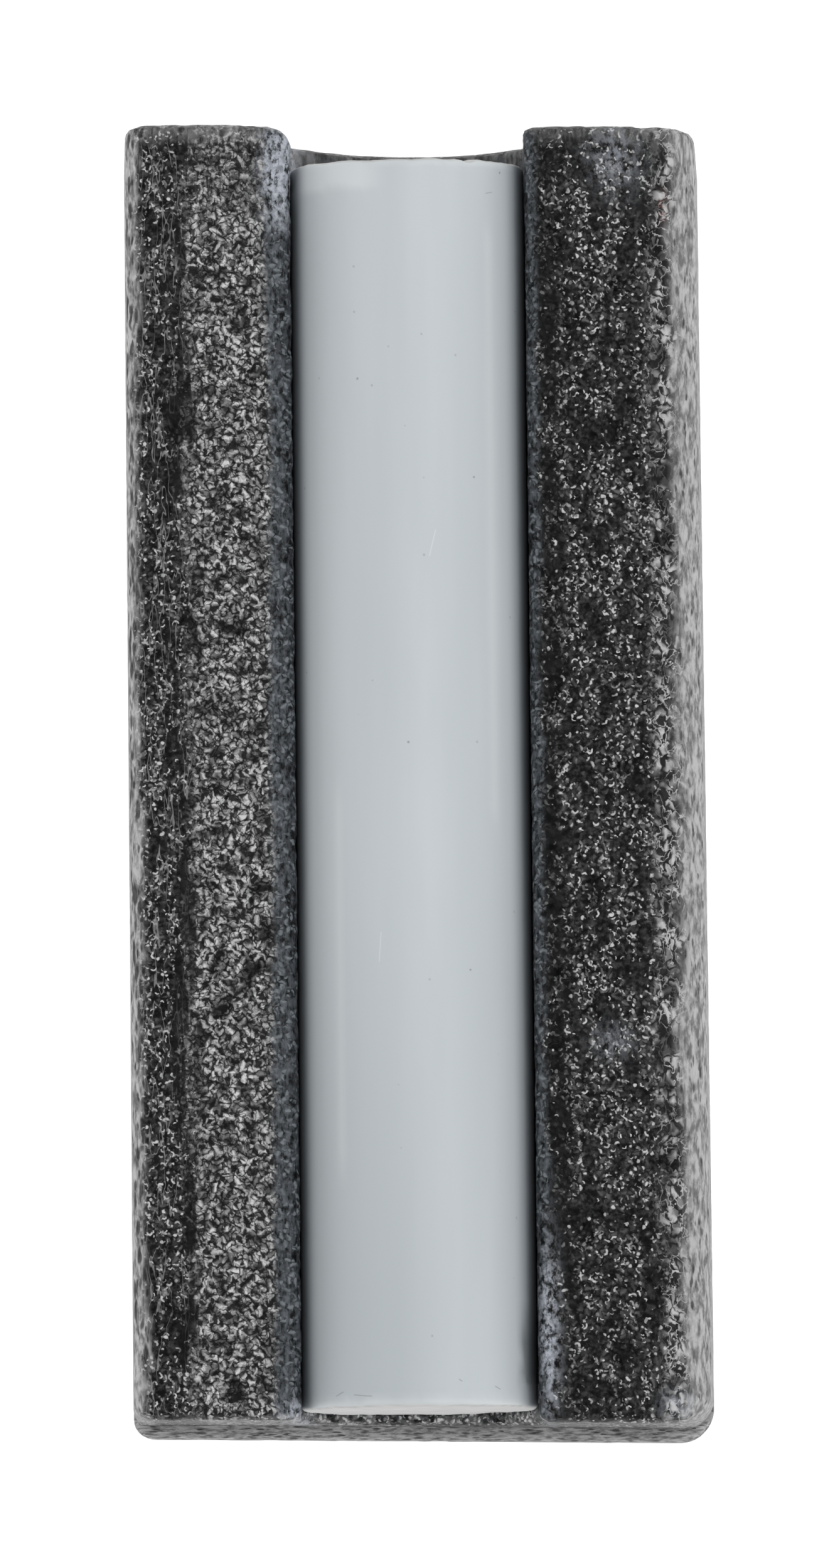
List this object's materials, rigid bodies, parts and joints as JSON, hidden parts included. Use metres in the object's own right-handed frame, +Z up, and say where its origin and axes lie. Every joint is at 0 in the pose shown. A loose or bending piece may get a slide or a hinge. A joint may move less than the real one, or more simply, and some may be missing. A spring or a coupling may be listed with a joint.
{
  "type": "chalkboard eraser",
  "caption": "Handheld chalkboard eraser: a dark foam block on a wiping pad, with a round grip rod held in its open lengthwise groove.",
  "frame": {"origin": "middle of the wiping pad's underside, which is the wiping face the eraser rests on", "axes": "+Z up, away from the wiping face; +Y along the rod and the groove, to the end where the rod is set back more; +X across, to the right rail"},
  "size_m": [0.0556, 0.1234, 0.0315],
  "materials": {
    "foam": "matte",
    "pad": "matte",
    "adhesive": "satin",
    "rod": "satin"
  },
  "bodies": {
    "eraser_body": {"foam_channel": "foam", "wiping_pad": "pad", "pad_adhesive": "adhesive"},
    "rod": {"grip_rod": "rod"}
  },
  "joints": [
    {"name": "rod_slide", "type": "slide", "parent": "eraser_body", "child": "rod", "axis": [0, 1, 0], "range_m": [-0.06, 0.06]}
  ]
}
